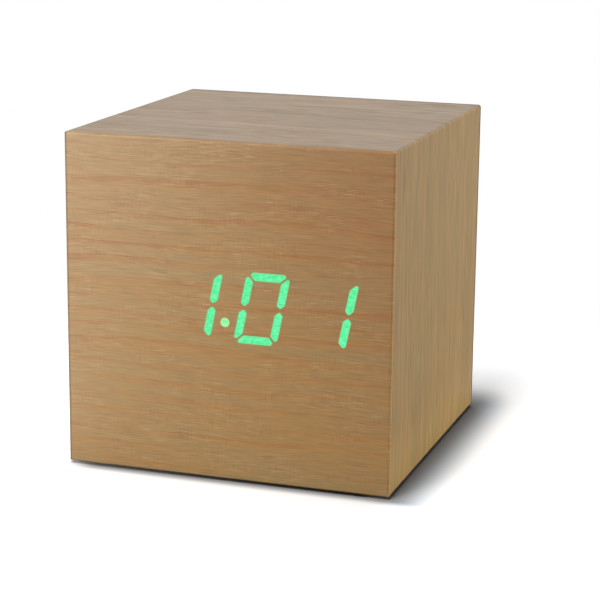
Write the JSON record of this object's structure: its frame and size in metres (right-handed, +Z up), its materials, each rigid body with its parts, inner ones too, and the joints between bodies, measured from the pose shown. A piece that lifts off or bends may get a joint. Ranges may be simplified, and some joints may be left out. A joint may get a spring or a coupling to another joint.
{
  "type": "digital alarm clock",
  "caption": "Cube desk alarm clock: veneered wooden box with a digital display that shines through its front, push buttons, a power jack and a hinged battery door at the back.",
  "frame": {"origin": "on the standing surface under the middle of the box", "axes": "+Z up, -Y out of the display's face, +Y out of the back with the buttons and the battery door, +X to the right of a viewer who faces the display"},
  "size_m": [0.068, 0.068, 0.0685],
  "materials": {
    "veneer_front": "matt oiled veneer, grain from side to side",
    "veneer_wrap": "matt oiled veneer, grain along the strip that wraps the box",
    "fibreboard": "sawn fibreboard",
    "pine": "sawn",
    "foot_rubber": "matt",
    "lit_green": "lit, seen through veneer",
    "lit_dot": "lit, seen through veneer",
    "diffuser": "milky film",
    "white_plastic": "moulded",
    "clear_resin": "cast resin",
    "led_body": "moulded",
    "circuit_board": "solder mask",
    "screw_steel": "zinc plated",
    "screw_black": "blackened",
    "chip_black": "moulded epoxy",
    "bright_can": "drawn can",
    "black_plastic": "moulded",
    "capacitor_sleeve": "shrunk sleeve",
    "sensor_bead": "dipped bead",
    "socket_plastic": "moulded",
    "ribbon_grey": "ribbed ribbon",
    "button_plastic": "satin moulded",
    "jack_plastic": "moulded",
    "contact_brass": "plated",
    "tray_plastic": "moulded",
    "cell_wrap": "plain film wrap over a metal can",
    "spring_steel": "nickel plated",
    "lead_red": "insulated wire",
    "lead_black": "insulated wire",
    "panel_plastic": "fine moulded grain"
  },
  "bodies": {
    "clock": {"front_veneer": "veneer_front", "wrap_veneer": "veneer_wrap", "front_board": "fibreboard", "top_board": "fibreboard", "bottom_board": "fibreboard", "left_board": "fibreboard", "right_board": "fibreboard", "corner_blocks": "pine", "rubber_feet": "foot_rubber", "lit_digits": "lit_green", "lit_dot": "lit_dot", "diffuser_film": "diffuser", "reflector_block": "white_plastic", "light_guides": "clear_resin", "segment_leds": "led_body", "main_board": "circuit_board", "main_board_spacers": "white_plastic", "main_board_screws": "screw_steel", "controller_chip": "chip_black", "quartz_crystal": "bright_can", "alarm_buzzer": "black_plastic", "supply_capacitor": "capacitor_sleeve", "temperature_sensor": "sensor_bead", "backup_cell_holder": "black_plastic", "backup_cell": "bright_can", "ribbon_sockets": "socket_plastic", "ribbon_cable": "ribbon_grey", "key_board": "circuit_board", "key_board_screws": "screw_steel", "tact_switches": "black_plastic", "microphone": "bright_can", "power_jack": "jack_plastic", "power_jack_pin": "contact_brass", "battery_tray": "tray_plastic", "battery_upper": "cell_wrap", "battery_middle": "cell_wrap", "battery_lower": "cell_wrap", "contact_plates": "spring_steel", "contact_springs": "spring_steel", "battery_lead_red": "lead_red", "battery_lead_black": "lead_black", "back_panel": "panel_plastic", "back_panel_screws": "screw_black"},
    "set_key": {"set_button": "button_plastic", "set_plunger": "white_plastic"},
    "up_key": {"up_button": "button_plastic", "up_plunger": "white_plastic"},
    "down_key": {"down_button": "button_plastic", "down_plunger": "white_plastic"},
    "door": {"battery_door": "panel_plastic", "door_latch": "panel_plastic"}
  },
  "joints": [
    {"name": "set_press", "type": "slide", "parent": "clock", "child": "set_key", "axis": [0, -1, 0], "range_m": [0, 0.0005], "stiffness_N_per_m": 2500},
    {"name": "up_press", "type": "slide", "parent": "clock", "child": "up_key", "axis": [0, -1, 0], "range_m": [0, 0.0005], "stiffness_N_per_m": 2500},
    {"name": "down_press", "type": "slide", "parent": "clock", "child": "down_key", "axis": [0, -1, 0], "range_m": [0, 0.0005], "stiffness_N_per_m": 2500},
    {"name": "door_hinge", "type": "hinge", "parent": "clock", "child": "door", "pos_m": [0, 0.0318, 0.0142], "axis": [-1, 0, 0], "range_deg": [0, 95], "deforming": ["door_latch"]}
  ]
}
